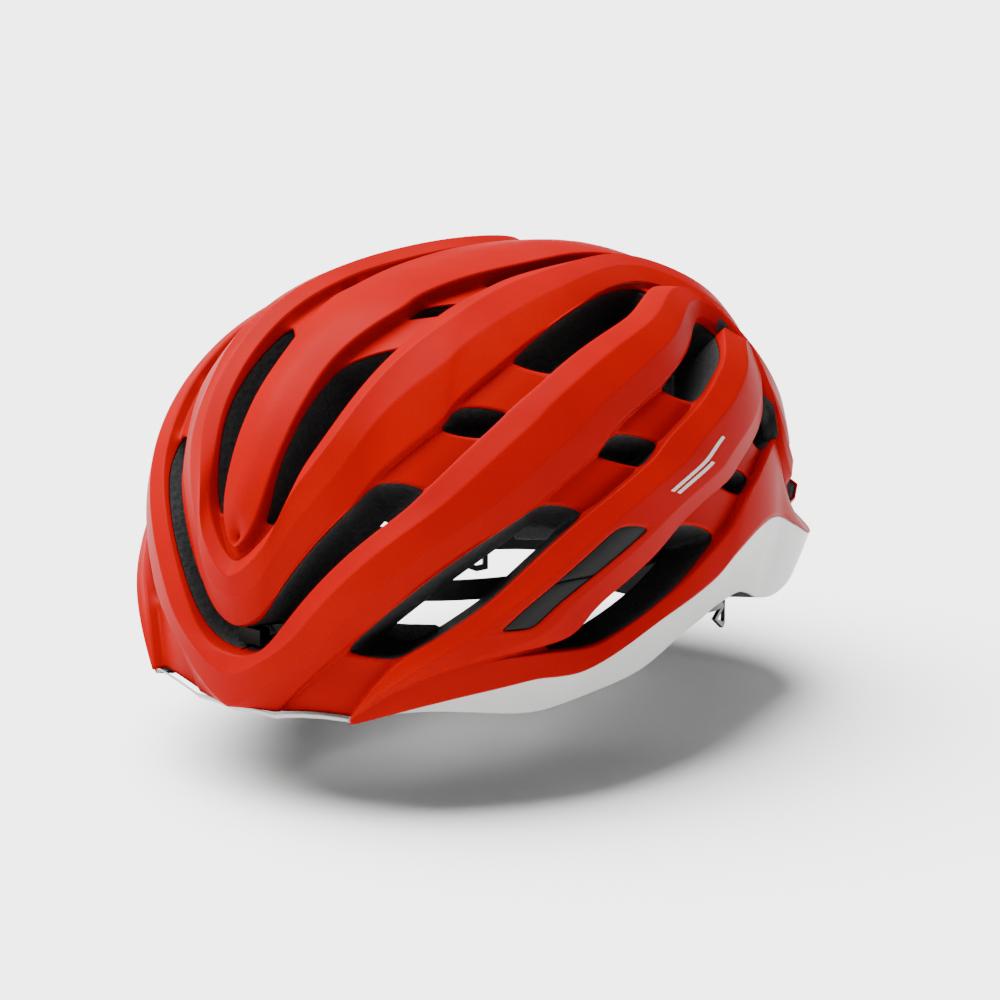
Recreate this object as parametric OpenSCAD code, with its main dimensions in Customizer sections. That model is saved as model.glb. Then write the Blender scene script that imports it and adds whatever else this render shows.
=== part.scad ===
// Road cycling helmet, size M.
// +Z is up, the brow faces -Y and the wearer's left is +X. Put down, the helmet stands on the
// front of its rim and, behind, on the dial housing, whose lower side is at z = 0.
//
// The outside is drawn on a map of the dome: a point [u, v] lies u degrees to the left and
// v degrees to the rear of the crown, seen from the middle of the head opening. Every rib
// and channel edge is a line on that map with one point at each of STATIONS cross lines.

/* [Shell] */
// Half width of the dome
half_width = 107; // [100:1:114]
// Dome length ahead of the middle
front_length = 137; // [130:1:142]
// Dome length behind the middle
rear_length = 139.5; // [132:0.5:146]
// Dome height above the middle
crown_height = 128; // [122:1:134]
// How far a channel floor lies below the rib crests
channel_depth = 8; // [6:0.5:11]
// How far the long openings' lips lie below the rib crests
lip_depth = 5; // [4:0.5:8]
// Wall of the moulded outer shells
shell_wall = 1.0; // [0.8:0.1:1.4]
// Steps between two cross lines
steps = 2; // [1:1:3]

/* [Liner] */
// Crest to head space at the sides
foam_side = 24; // [20:1:26]
// Crest to head space at the brow and the nape
foam_ends = 32; // [26:1:34]
// Crest to head space at the crown
foam_top = 30; // [26:1:34]
// Gap that keeps the shells and the liner apart
skin_gap = 0.15; // [0.1:0.05:0.3]

/* [Fit system] */
// Height of the nylon bands
band_h = 7; // [6:0.5:8]
// Thickness of the nylon bands
band_t = 1.6; // [1.2:0.1:2]
// Pitch radius of the dial's pinion
pinion_r = 4; // [4:1:4]
// Teeth on the pinion
pinion_teeth = 12; // [12:1:12]
// Diameter of the dial
dial_d = 25; // [22:1:28]
// Up and down travel of the rear cradle
height_travel = 12; // [6:1:12]

/* [Hidden] */
$fn = 48;

// ---- Map of the dome -------------------------------------------------------

mid_y = -1.99;
lower_depth = 110;
plan_power = 2.25;
side_power = 2.65;
rear_taper = 0.15;
front_taper = 0.035;

function lerp(a, b, f) = a + (b - a) * f;
function taper(y) = y > 0 ? 1 - rear_taper * pow(y / rear_length, 2)
    : 1 - front_taper * pow(y / front_length, 2);

// Distance from the dome's middle to its surface along the unit direction d.
function reach(d) =
    let (length = d[1] < 0 ? front_length : rear_length,
        height = d[2] > 0 ? crown_height : lower_depth,
        plan = pow(abs(d[0]) / half_width, plan_power) + pow(abs(d[1]) / length, plan_power))
    1 / pow(pow(plan, side_power / plan_power) + pow(abs(d[2]) / height, side_power),
        1 / side_power);
function heading(m) =
    let (down = norm(m), turn = atan2(m[1], m[0]))
    [sin(down) * cos(turn), sin(down) * sin(turn), cos(down)];

// Point of the map at a height of lift mm above the dome, the dome's middle at height mid_z.
function place(m, lift, mid_z = dome_mid_z) =
    let (d = heading(m), p = d * (reach(d) + lift))
    [p[0] * taper(p[1]), p[1] + mid_y, p[2] + mid_z];

// ---- Rib and channel lines -------------------------------------------------
// Cross lines 0 to 13: 0 front end, 1 to 4 front vent, 5 and 6 middle vent, 7 to 9 rear
// vent, 10 to 12 exhaust vents, 13 rear end. Lines that end at u = 0 meet their mirror.

centre = [[0, -69], [0, -65], [0, -57], [0, -48], [0, -40], [0, -28], [0, -22], [0, -9],
    [0, 3], [0, 18], [0, 30], [0, 42], [0, 56], [0, 62]];
channel1_in = [[0, -71], [3.9, -66.5], [4.8, -58.5], [5, -49.5], [5, -40], [7, -27.5], [6.5, -22],
    [7.5, -9], [8.5, 4], [8, 19.5], [10, 31], [10, 43], [7, 56.5], [0, 63]];
channel1_out = [[0, -73], [8, -66.5], [10, -58], [12, -49], [13, -31.5], [12.7, -21],
    [12.5, -15], [11.5, -5.5], [11, 8], [10, 22.5], [14, 33], [15, 45], [11, 57.5], [0, 64]];
channel2_in = [[0, -82], [4, -79.7], [9.5, -74], [19, -61], [22, -54], [26, -42.5], [26, -37],
    [26.5, -25], [24.5, -8], [19, 20], [26, 33], [27, 49], [17, 61.5], [0, 67.5]];
channel2_out = [[0, -86.7], [8.5, -84.8], [15.5, -77.5], [27.5, -59], [31, -50], [33, -38.5],
    [33.3, -31], [33, -20.5], [29.5, 3.5], [22, 21], [30, 34], [32, 50.5], [19.5, 63], [0, 69]];
channel3_in = [[13.5, -93.5], [26.5, -80], [35.7, -66], [43, -50], [46.5, -37.5], [47, -23],
    [45.5, -16], [42.5, 0], [37.5, 12], [28, 28.5], [42, 38], [46, 55], [33, 68.5], [0, 74.5]];
channel3_out = [[32.5, -86], [39.2, -75.6], [46, -66], [51.3, -53], [54, -29], [53.4, -13],
    [51, -4.5], [46.5, 9.5], [38.5, 23], [30.5, 31.5], [44.5, 39], [47.5, 56], [33.5, 69.8],
    [0, 75.6]];
channel4_in = [[33, -87], [65.3, -52], [68, -36], [68, -18], [65, -5.5], [60.7, 11.5], [57, 18.5],
    [51, 28], [45, 34.5], [38.5, 39.5], [51, 42], [51, 59], [34.5, 72.6], [0, 77.6]];
channel4_out = [[33.2, -87.4], [67.5, -51], [76, -34], [76.7, -11], [69.5, 11.5], [62.3, 21.5],
    [58, 27.5], [52, 35], [49, 39], [48.5, 42], [54.5, 45], [52.5, 60], [35, 73.8], [0, 78.6]];
colour_edge = [[33.2, -87.9], [68, -57], [78, -39], [80, -14], [78, 3], [73.5, 14], [71, 19.5],
    [67, 28], [64.3, 34.5], [62, 42], [60, 51], [54, 64], [34, 77], [0, 81]];
rim = [[32.5, -89.5], [65.5, -69], [79.5, -52], [89, -26], [87, 0], [84, 12], [82.5, 17.5],
    [80, 26.5], [79, 34], [77.5, 43], [72, 54], [60.8, 63.6], [35, 82], [0, 86]];
STATIONS = len(rim);

// Crest line at a share of the way across a rib. Station 0 is given, on the front centreline.
function crest(a, b, share, first) =
    [for (s = [0:STATIONS - 1]) s == 0 ? first : lerp(a[s], b[s], share)];

vee_crest = crest(channel1_out, channel2_in, 0.25, [0, -75.2]);
vee_crease = crest(channel1_out, channel2_in, 0.62, [0, -78]);
brow_crest = crest(channel2_out, channel3_in, 0.33, [0, -89.5]);
brow_crease = crest(channel2_out, channel3_in, 0.72, [0, -94.5]);
side_crest = crest(channel3_out, channel4_in, 0.36, lerp(channel3_out[0], channel4_in[0], 0.4));
side_crease = crest(channel3_out, channel4_in, 0.8, lerp(channel3_out[0], channel4_in[0], 0.8));

// The floor of a channel starts a little way in from each edge, and deeper in further in.
floor_inset = 0.1;
function floor_line(a, b, share) = [for (s = [0:STATIONS - 1]) lerp(a[s], b[s], share)];

// Lift of each line at the stations: crests at 0, edges a little lower, floors deep. A floor
// runs up to the ribs at the front and rear ends, where the ribs join.
function level(h) = [for (s = [0:STATIONS - 1]) h];
function floor_lift(front, behind, after) =
    [for (s = [0:STATIONS - 1]) s == 0 ? front : s >= after ? behind
        : s == 2 || s == 3 || s == 8 ? -lip_depth : -channel_depth];
edge = -3;
low_edge = -5;
// The rear corners flare out into a tail.
edge_lift = [-2.5, -2.5, -2.5, -2.5, -2.5, -2.5, -2.5, -2.5, -2.5, -2.5, 0, 5, 4, 2];
rim_lift = [-9, -9, -9, -9, -9, -9, -9, -9, -9, -9, -6.5, -1.5, -3, -5];

// [map line, lift line, map line at the inner skin]
LINES = [
    [centre, [for (s = [0:STATIONS - 1]) s == 0 ? -6 : 0], centre],
    [channel1_in, level(-2), channel1_in],
    [floor_line(channel1_in, channel1_out, floor_inset), floor_lift(-6, -channel_depth, 9),
        floor_line(channel1_in, channel1_out, 2 * floor_inset)],
    [floor_line(channel1_out, channel1_in, floor_inset), floor_lift(-6, -channel_depth, 9),
        floor_line(channel1_out, channel1_in, 2 * floor_inset)],
    [channel1_out, level(edge), channel1_out],
    [vee_crest, level(0), vee_crest],
    [vee_crease, level(-1), vee_crease],
    [channel2_in, level(low_edge), channel2_in],
    [floor_line(channel2_in, channel2_out, floor_inset), floor_lift(-12, -4, 10),
        floor_line(channel2_in, channel2_out, 2 * floor_inset)],
    [floor_line(channel2_out, channel2_in, floor_inset), floor_lift(-12, -4, 10),
        floor_line(channel2_out, channel2_in, 2 * floor_inset)],
    [channel2_out, level(edge), channel2_out],
    [brow_crest, level(0), brow_crest],
    [brow_crease, level(-0.5), brow_crease],
    [channel3_in, level(low_edge), channel3_in],
    [floor_line(channel3_in, channel3_out, floor_inset), floor_lift(-7, -channel_depth, 9),
        floor_line(channel3_in, channel3_out, 2 * floor_inset)],
    [floor_line(channel3_out, channel3_in, floor_inset), floor_lift(-7, -channel_depth, 9),
        floor_line(channel3_out, channel3_in, 2 * floor_inset)],
    [channel3_out, level(edge), channel3_out],
    [side_crest, level(0), side_crest],
    [side_crease, level(-1), side_crease],
    [channel4_in, level(-4), channel4_in],
    [floor_line(channel4_in, channel4_out, floor_inset), floor_lift(-5, -channel_depth, 9),
        floor_line(channel4_in, channel4_out, 2 * floor_inset)],
    [floor_line(channel4_out, channel4_in, floor_inset), floor_lift(-5, -channel_depth, 9),
        floor_line(channel4_out, channel4_in, 2 * floor_inset)],
    [channel4_out, level(-4), channel4_out],
    [colour_edge, edge_lift, colour_edge],
    [rim, rim_lift, rim]];

// First and last map line, first and last station of every opening.
VENTS = [
    [2, 3, 1, 4], [2, 3, 5, 6], [2, 3, 7, 9], [2, 3, 10, 12],
    [8, 9, 0, 4], [8, 9, 5, 6], [8, 9, 7, 9], [8, 9, 10.5, 12],
    [14, 15, 1, 4], [14, 15, 5, 6], [14, 15, 7, 9],
    [20, 21, 1, 4], [20, 21, 5, 6], [20, 21, 7, 9], [16, 19, 10.5, 11]];
SLOT = [17, 18, 2, 4];

EDGE_LINE = 23;
RIM_LINE = 24;
// Lines below this one meet their mirror at the front; the others end on the rim.
BROW_LINE = 12;
ROWS = (STATIONS - 1) * steps;

// Smooth curve through a list of points, t counted in list places.
function along(points, t) =
    let (i = min(floor(t), len(points) - 2), f = t - i,
        a = points[max(i - 1, 0)], b = points[i], c = points[i + 1],
        d = points[min(i + 2, len(points) - 1)])
    (2 * b + (c - a) * f + (2 * a - 5 * b + 4 * c - d) * f * f
        + (3 * b - a - 3 * c + d) * f * f * f) / 2;
function lift_at(lifts, t) =
    let (i = min(floor(t), len(lifts) - 2)) lerp(lifts[i], lifts[i + 1], t - i);

// Depth from the crests to the head space in the direction of m.
function liner_depth(m) =
    let (d = heading(m))
    foam_side * d[0] * d[0] + foam_ends * d[1] * d[1] + foam_top * d[2] * d[2];

function outer_point(i, t, drop) = place(along(LINES[i][0], t), lift_at(LINES[i][1], t) - drop);
function inner_point(i, t) =
    let (m = along(LINES[i][2], t)) place(m, -liner_depth(m));
function mirrored(p, side) = side == 0 ? p : [-p[0], p[1], p[2]];

function is_vent(i, j, holes) =
    len([for (h = holes) if (i >= h[0] && i < h[1] && j >= h[2] * steps && j < h[3] * steps) 1]) > 0;

// A closed skin over the lines first..last of both halves, between two lists of points
// for each half. Its faces skip the openings and close every free edge with a wall.
module skin(first, last, outer, inner, holes, row0 = 0, row1 = ROWS) {
    wide = last - first + 1;
    tall = row1 - row0 + 1;
    half = wide * tall;
    points = [for (side = [0, 1], layer = [outer, inner], i = [0:wide - 1], j = [0:tall - 1])
        mirrored(layer[i][j], side)];
    function at(side, layer, i, j) = ((side * 2 + layer) * wide + i) * tall + j;
    function solid(i, j) = i >= 0 && j >= 0 && i < wide - 1 && j < tall - 1
        && !is_vent(i + first, j + row0, holes);
    function turned(face, back) = back ? [for (k = [len(face) - 1:-1:0]) face[k]] : face;
    cells = [for (i = [0:wide - 2], j = [0:tall - 2]) if (solid(i, j)) [i, j]];
    skins = [for (side = [0, 1], layer = [0, 1], c = cells)
        let (i = c[0], j = c[1], a = at(side, layer, i, j), b = at(side, layer, i + 1, j),
            c2 = at(side, layer, i + 1, j + 1), d = at(side, layer, i, j + 1))
        // The diagonal turns over half way, so that none lies on the centreline at an end
        each [for (f = j + row0 < ROWS / 2 ? [[a, b, c2], [a, c2, d]] : [[a, b, d], [b, c2, d]])
            turned(f, side == layer)]];
    // Each side of a cell: neighbour, its two corners, and whether it can be a free edge.
    walls = [for (side = [0, 1], c = cells)
        let (i = c[0], j = c[1], meets = i + first < BROW_LINE && j + row0 == 0)
        for (s = [[i, j - 1, i, j, i + 1, j, !meets],
                [i + 1, j, i + 1, j, i + 1, j + 1, true],
                [i, j + 1, i + 1, j + 1, i, j + 1, j + row0 != ROWS - 1],
                [i - 1, j, i, j + 1, i, j, i + first != 0]])
        if (s[6] && !solid(s[0], s[1]))
            let (a = at(side, 0, s[2], s[3]), b = at(side, 0, s[4], s[5]),
                c2 = at(side, 1, s[4], s[5]), d = at(side, 1, s[2], s[3]))
            each [turned([b, a, d], side == 0), turned([b, d, c2], side == 0)]];
    polyhedron(points, concat(skins, walls), convexity = 20);
}

// The dome stands so high that the lowest point of the rim is stand mm above z = 0.
stand = 9;
lower_drop = 0.3;
dome_mid_z = stand - min([for (j = [0:ROWS])
    place(along(rim, j / steps), lift_at(rim_lift, j / steps) - lower_drop, 0)[2]]);

function outer_grid(first, last, drop, row0 = 0, row1 = ROWS) =
    [for (i = [first:last]) [for (j = [row0:row1]) outer_point(i, j / steps, drop)]];
function inner_grid(first, last) =
    [for (i = [first:last]) [for (j = [0:ROWS]) inner_point(i, j / steps)]];

module top_shell() {
    color("orangered")
        skin(0, EDGE_LINE, outer_grid(0, EDGE_LINE, 0), outer_grid(0, EDGE_LINE, shell_wall),
            concat(VENTS, [SLOT]));
}

module lower_shell() {
    color("whitesmoke")
        skin(EDGE_LINE, RIM_LINE, outer_grid(EDGE_LINE, RIM_LINE, lower_drop),
            outer_grid(EDGE_LINE, RIM_LINE, lower_drop + shell_wall), []);
}

module foam_liner() {
    color([0.1, 0.1, 0.1])
        skin(0, RIM_LINE, outer_grid(0, RIM_LINE, lower_drop + shell_wall + skin_gap),
            inner_grid(0, RIM_LINE), VENTS);
}

// ---- Slot inserts: two glossy black bars clipped into the side rib ----------

insert_drop = 0.9;
insert_gap = 0.03;
// A bar across the slot between two stations, on the left half; drawn with 4 sides.
module slot_bar(from, to) {
    function corner(share, t, drop) =
        place(lerp(along(LINES[SLOT[0]][0], t), along(LINES[SLOT[1]][0], t), share),
            lerp(lift_at(LINES[SLOT[0]][1], t), lift_at(LINES[SLOT[1]][1], t), share) - drop);
    cuts = 4;
    ring = [for (k = [0:cuts])
        let (t = lerp(from, to, k / cuts))
        each [corner(insert_gap, t, 0.4), corner(1 - insert_gap, t, 0.4),
            corner(1 - insert_gap, t, insert_drop), corner(insert_gap, t, insert_drop)]];
    sides = [for (k = [0:cuts - 1], s = [0:3])
        let (a = 4 * k + s, b = 4 * k + (s + 1) % 4)
        each [[a, b + 4, b], [a, a + 4, b + 4]]];
    polyhedron(ring, concat([[1, 2, 3], [0, 1, 3]], sides,
        [[4 * cuts + 2, 4 * cuts + 1, 4 * cuts], [4 * cuts + 3, 4 * cuts + 2, 4 * cuts]]));
}
module on_side(side) {
    if (side > 0) children();
    else mirror([1, 0, 0]) children();
}
module slot_insert(side, from, to) {
    color([0.05, 0.05, 0.05]) on_side(side) slot_bar(from, to);
}

// ---- Strut across the front vent, under the nose ----------------------------

module brow_strut() {
    color([0.08, 0.08, 0.08])
        translate([-5, mid_y - 124.5, dome_mid_z + 9.3]) cube([10, 5, 5.6]);
}

// ---- Bands that follow the head space ----------------------------------------

head_half_w = half_width - foam_side;
head_front = front_length - foam_ends;
head_rear = rear_length - foam_ends;

// Point of a band, a degrees round from the front, inset mm inside the liner.
function band_point(a, inset, mid = 0) =
    let (length = abs(a) < 90 ? head_front : head_rear)
    [mid * sign(sin(a)) + (head_half_w - mid - inset) * sign(sin(a)) * pow(abs(sin(a)), 2 / plan_power),
        mid_y - (length - inset) * sign(cos(a)) * pow(abs(cos(a)), 2 / plan_power)];
module band(from, to, inset, thick, count = 24) {
    linear_extrude(band_h)
        polygon(concat([for (k = [0:count]) band_point(lerp(from, to, k / count), inset)],
            [for (k = [count:-1:0]) band_point(lerp(from, to, k / count), inset + thick)]));
}

headband_z = stand + 36;
headband_inset = 4;
anchor_a = 94;
module front_headband() {
    color([0.1, 0.1, 0.1]) translate([0, 0, headband_z])
        band(-anchor_a, anchor_a, headband_inset, band_t, 40);
}

anchor_y = mid_y + 18.5;
anchor_foot_z = stand + 9;
// Plug in the liner with a hanging strap that steadies the end of a rack arm.
module temple_anchor(side) {
    color([0.12, 0.12, 0.12]) on_side(side) {
        translate([head_half_w - 3.2, anchor_y, headband_z + band_h / 2]) rotate([0, -90, 0])
            cylinder(r = 6, h = 2.2);
        translate([head_half_w - 5.6, anchor_y - 4, anchor_foot_z])
            cube([1.4, 8, headband_z - anchor_foot_z + 2]);
    }
}

// ---- Pads ----------------------------------------------------------------------

pad_gap = 2.2;
pad_rows = 8;
pad_columns = 5;
// Pad on the inside of the liner over a grid of map points, with thin edges.
module pad_over(grid, thick) {
    rows = len(grid);
    columns = len(grid[0]);
    function bulge(r, c) = (r == 0 || r == rows - 1 || c == 0 || c == columns - 1) ? 0.4 : 1;
    layers = [for (layer = [0, 1]) [for (r = [0:rows - 1]) [for (c = [0:columns - 1])
        let (m = grid[r][c])
        place(m, -liner_depth(m) - pad_gap - layer * thick * bulge(r, c))]]];
    points = [for (layer = layers, row = layer) each row];
    function at(layer, r, c) = (layer * rows + r) * columns + c;
    flats = [for (layer = [0, 1], r = [0:rows - 2], c = [0:columns - 2])
        let (a = at(layer, r, c), b = at(layer, r, c + 1), d = at(layer, r + 1, c),
            e = at(layer, r + 1, c + 1))
        each layer == 0 ? [[a, d, e], [a, e, b]] : [[a, e, d], [a, b, e]]];
    loop = concat([for (c = [0:columns - 2]) [0, c]], [for (r = [0:rows - 2]) [r, columns - 1]],
        [for (c = [columns - 1:-1:1]) [rows - 1, c]], [for (r = [rows - 1:-1:1]) [r, 0]]);
    sides = [for (k = [0:len(loop) - 1])
        let (p = loop[k], q = loop[(k + 1) % len(loop)], a = at(0, p[0], p[1]),
            b = at(0, q[0], q[1]), c = at(1, q[0], q[1]), d = at(1, p[0], p[1]))
        each [[a, b, c], [a, c, d]]];
    polyhedron(points, concat(flats, sides));
}
function pad_grid(u0, u1, v0, v1) =
    [for (r = [0:pad_rows]) [for (c = [0:pad_columns])
        [lerp(u0, u1, c / pad_columns), lerp(v0, v1, r / pad_rows)]]];
// Turn is measured from +X towards the rear, down from the crown.
function pad_arc(turn0, turn1, down0, down1, rows) =
    [for (r = [0:rows]) [for (c = [0:3])
        let (turn = lerp(turn0, turn1, r / rows), down = lerp(down0, down1, c / 3))
        down * [cos(turn), sin(turn)]]];

module brow_pad() { color("dimgray") pad_over(pad_arc(-135, -45, 80, 88, 18), 5); }
module crown_pad_centre() { color("dimgray") pad_over(pad_grid(-8, 8, -40, 22), 6); }
module crown_pad(side) {
    color("dimgray") on_side(side) pad_over(pad_grid(36, 46, -36, 14), 6);
}
module side_pad(side) {
    color("dimgray") on_side(side) pad_over(pad_arc(-16, 0, 54, 65.5, 6), 5);
}

// Hook discs glued to the liner; the pads press onto them.
module disc_at(m) {
    d = heading(m);
    translate(place(m, -liner_depth(m) - 1.05)) rotate([0, 180 - acos(d[2]), atan2(d[1], d[0]) + 180])
        cylinder(r = 3, h = 0.45);
}
module hook_discs() {
    color([0.2, 0.2, 0.2]) {
        for (v = [-30, 10]) disc_at([0, v]);
        for (side = [-1, 1], v = [-26, 4]) disc_at([41 * side, v]);
    }
}

// Plates that hold the chin webbing against the liner, two each side.
module strap_anchors() {
    color([0.12, 0.12, 0.12])
        for (side = [0, 1]) mirror([side, 0, 0])
            for (a = [64, 128])
                let (p = band_point(a, 4.4), q = band_point(a - 2, 4.4))
                translate([p[0], p[1], stand + (a < 90 ? 24 : 38)])
                    rotate([0, 0, atan2(q[1] - p[1], q[0] - p[0]) + 90])
                    difference() {
                        translate([-0.8, -7, -5]) cube([1.6, 14, 10]);
                        translate([-1, -5, -1.2]) cube([2, 10, 2.4]);
                    }
}

// ---- Rear cradle ------------------------------------------------------------------

dial_z = 13;
rack_y = mid_y + 91.5;
plate_half = 20;
plate_h = 13;
screw_x = 15;
screw_z = 10.6;
rail_y = rack_y + 2;
rail_z = stand + 44;
stem_top = rail_z + 16;

// Rail held to the liner at the nape, with a notch for each height of the cradle.
module height_rail() {
    color([0.12, 0.12, 0.12])
        difference() {
            union() {
                translate([-9, rail_y, rail_z]) cube([18, 2.4, 27]);
                for (z = [8, 22]) translate([0, rail_y + 2, rail_z + z]) rotate([-90, 0, 0])
                    cylinder(r = 4, h = z == 8 ? 4 : 1.6);
            }
            for (k = [0:3]) translate([-4, rail_y - 0.1, rail_z + 6 + k * height_travel / 3])
                cube([8, 1.2, 1.8]);
        }
}

// Stem and two curved wings that cup the nape; the dial's housing is screwed to it.
wing_inset = 20;
module cradle_yoke() {
    color([0.14, 0.14, 0.14]) {
        translate([-7, rack_y - 2.4, dial_z + plate_h + 0.4])
            cube([14, 2, stem_top - dial_z - plate_h - 0.4]);
        translate([-3.5, rack_y - 0.4, stem_top - 8]) cube([7, 1.6, 1.6]);
        translate([-12, rack_y - 9, dial_z + plate_h + 0.4]) cube([24, 8.6, 1.4]);
        for (side = [0, 1]) mirror([side, 0, 0]) {
            translate([0, 0, dial_z + plate_h - 8]) band(140, 170, wing_inset + 2, 1.8, 10);
        }
        translate([-20, rack_y - 9, dial_z + plate_h - 8]) cube([40, 1.4, band_h + 2.8]);
    }
}
module nape_pad(side) {
    color("dimgray") on_side(side)
        translate([0, 0, dial_z + plate_h - 8.5]) linear_extrude(8)
            polygon(concat([for (k = [0:8]) band_point(lerp(142, 166, k / 8), wing_inset + 4.1)],
                [for (k = [8:-1:0]) band_point(lerp(142, 166, k / 8), wing_inset + 7.6)]));
}

module plate_outline() {
    translate([-plate_half, -plate_h]) square([2 * plate_half, 2 * plate_h]);
}
// Drawn in a plane and raised towards the rear.
module facing_rear(y) { translate([0, y, dial_z]) rotate([-90, 0, 0]) children(); }
module screw_places() {
    for (x = [-screw_x, screw_x], z = [-screw_z, screw_z]) translate([x, z, 0]) children();
}

inner_plate_y = rack_y - 5.8;
outer_plate_y = rack_y + 1.8;
spacer_y = rack_y - 2.6;
module housing_inner() {
    color([0.1, 0.1, 0.1]) facing_rear(inner_plate_y)
        difference() {
            union() {
                linear_extrude(spacer_y - inner_plate_y) plate_outline();
                // Ledges keep the two plates apart above and below the racks
                for (s = [-1, 1]) translate([-plate_half, s > 0 ? 9 : -plate_h, 0])
                    cube([2 * plate_half, plate_h - 9, outer_plate_y - inner_plate_y]);
            }
            translate([0, 0, 1.2]) cylinder(r = 2.1, h = 10);
            translate([0, 0, -1]) screw_places() cylinder(r = 1, h = 20);
        }
}
module housing_outer() {
    color([0.1, 0.1, 0.1]) facing_rear(outer_plate_y)
        difference() {
            linear_extrude(2.6) plate_outline();
            translate([0, 0, -1]) cylinder(r = 3.1, h = 6);
            translate([0, 0, -1]) screw_places() cylinder(r = 1.3, h = 6);
        }
}
module housing_screws() {
    color("silver") facing_rear(outer_plate_y + 2.6) screw_places() {
        cylinder(r = 2.1, h = 1.1);
        translate([0, 0, -7]) cylinder(r = 0.95, h = 7.5);
    }
}

// ---- Dial, pinion and rack arms ------------------------------------------------------

tooth_pitch = 360 / pinion_teeth;
rack_pitch = 2 * PI * pinion_r / pinion_teeth;
pinion_tip = pinion_r + 0.55;
pinion_root = pinion_r - 0.75;
module dial_pinion() {
    color([0.75, 0.75, 0.7]) facing_rear(rack_y - 1.8)
        difference() {
            union() {
                linear_extrude(3.2)
                    polygon([for (k = [0:pinion_teeth - 1])
                        each [for (e = [[-11, pinion_root], [-4.5, pinion_tip], [4.5, pinion_tip],
                            [11, pinion_root]])
                            e[1] * [cos(90 + k * tooth_pitch + e[0]), sin(90 + k * tooth_pitch + e[0])]]]);
                translate([0, 0, -2]) cylinder(r = 2, h = 3);
                translate([0, 0, 2]) cylinder(r = 3, h = 6);
            }
            translate([0, 0, -0.5]) cylinder(r = 1.1, h = 20);
        }
}
dial_y = rack_y + 5.4;
dial_h = 8;
module dial_knob() {
    color([0.09, 0.09, 0.09]) facing_rear(dial_y)
        difference() {
            union() {
                cylinder(r = dial_d / 2 - 1, h = dial_h - 1);
                cylinder(r = dial_d / 2 - 3, h = dial_h);
                for (k = [0:17]) rotate(k * 20) translate([dial_d / 2 - 1, 0, 0.4])
                    cylinder(r = 1, h = dial_h - 1.8, $fn = 16);
            }
            translate([0, 0, -1]) cylinder(r = 8.8, h = 3.2);
            translate([0, 0, -1]) cylinder(r = 1.5, h = 20);
            translate([0, 0, dial_h - 1.6]) cylinder(r = 2.7, h = 3);
        }
}
module dial_screw() {
    color("silver") facing_rear(dial_y) {
        translate([0, 0, dial_h - 1.6]) cylinder(r = 2.5, h = 1.3);
        translate([0, 0, -6]) cylinder(r = 1, h = 13);
    }
}
// Leaf on the cover that clicks in the dial's notches.
module click_spring() {
    color("silver") facing_rear(outer_plate_y + 2.65)
        difference() {
            cylinder(r = 8.2, h = 1.6);
            translate([0, 0, -1]) cylinder(r = 7.6, h = 4);
            translate([-12, -3, -1]) cube([24, 12, 4]);
        }
}

rack_half = 3.6;
rack_gap = 4.95;
arm_mid = 24;
arm_inset = 7;
rack_end = -13;
// Left arm: a toothed bar under the pinion, then a strap that follows the head to the temple.
module rack_arm(side) {
    flip = side > 0 ? -1 : 1;
    color([0.13, 0.13, 0.13]) on_side(side) {
        translate([0, rack_y + band_t / 2, dial_z]) rotate([90, 0, 0]) linear_extrude(band_t)
            union() {
                translate([rack_end, flip > 0 ? rack_gap : -rack_gap - rack_half])
                    square([arm_mid - rack_end + 4, rack_half]);
                translate([arm_mid - 3, flip > 0 ? -band_h / 2 : -rack_gap - rack_half])
                    square([7, rack_gap + rack_half + band_h / 2]);
                for (k = [-5:8])
                    let (x = (k + 0.5) * rack_pitch, tip = pinion_r - 0.35)
                    polygon([[x - 0.62, flip * (rack_gap + 0.1)], [x - 0.28, flip * tip],
                        [x + 0.28, flip * tip], [x + 0.62, flip * (rack_gap + 0.1)]]);
            }
        strap_to_temple();
        wire_loop();
    }
}
strap_end = 96;
arm_length = rack_y + band_t / 2 - mid_y;
arm_half_w = head_half_w - arm_inset - arm_mid;
function strap_point(a, inward) =
    [arm_mid + (arm_half_w - inward) * pow(abs(sin(a)), 2 / plan_power),
        mid_y + (arm_length - inward) * (a > 90 ? pow(abs(cos(a)), 2 / plan_power)
            : -pow(abs(cos(a)), 2 / plan_power))];
strap_rise = 14;
// The strap climbs towards the temple, so that it stays inside the rim at the ear.
function strap_z(a) = dial_z - band_h / 2 + strap_rise * pow(max(0, (150 - a) / (150 - strap_end)), 2);
module strap_to_temple() {
    count = 22;
    ring = [for (k = [0:count])
        let (a = lerp(180, strap_end, k / count), p = strap_point(a, 0), q = strap_point(a, band_t))
        each [[p[0], p[1], strap_z(a)], [p[0], p[1], strap_z(a) + band_h],
            [q[0], q[1], strap_z(a) + band_h], [q[0], q[1], strap_z(a)]]];
    sides = [for (k = [0:count - 1], s = [0:3])
        let (a = 4 * k + s, b = 4 * k + (s + 1) % 4)
        each [[a, b + 4, b], [a, a + 4, b + 4]]];
    polyhedron(ring, concat([[0, 1, 2], [0, 2, 3]], sides,
        [[4 * count, 4 * count + 2, 4 * count + 1], [4 * count, 4 * count + 3, 4 * count + 2]]));
}
// Small triangular guide for the chin webbing, below the strap.
loop_a = 131;
module wire_loop() {
    p = strap_point(loop_a, band_t / 2);
    q = strap_point(loop_a + 4, band_t / 2);
    translate([p[0], p[1], dial_z - band_h / 2]) rotate([0, 0, atan2(q[1] - p[1], q[0] - p[0])])
        rotate([90, 0, 0]) translate([0, 0, -0.7]) linear_extrude(1.4)
            difference() {
                polygon([[-12, 1], [14, 1], [14, -8], [9, -8.5]]);
                polygon([[-5, -1], [12, -1], [12, -6], [9.6, -6.3]]);
            }
}

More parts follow.
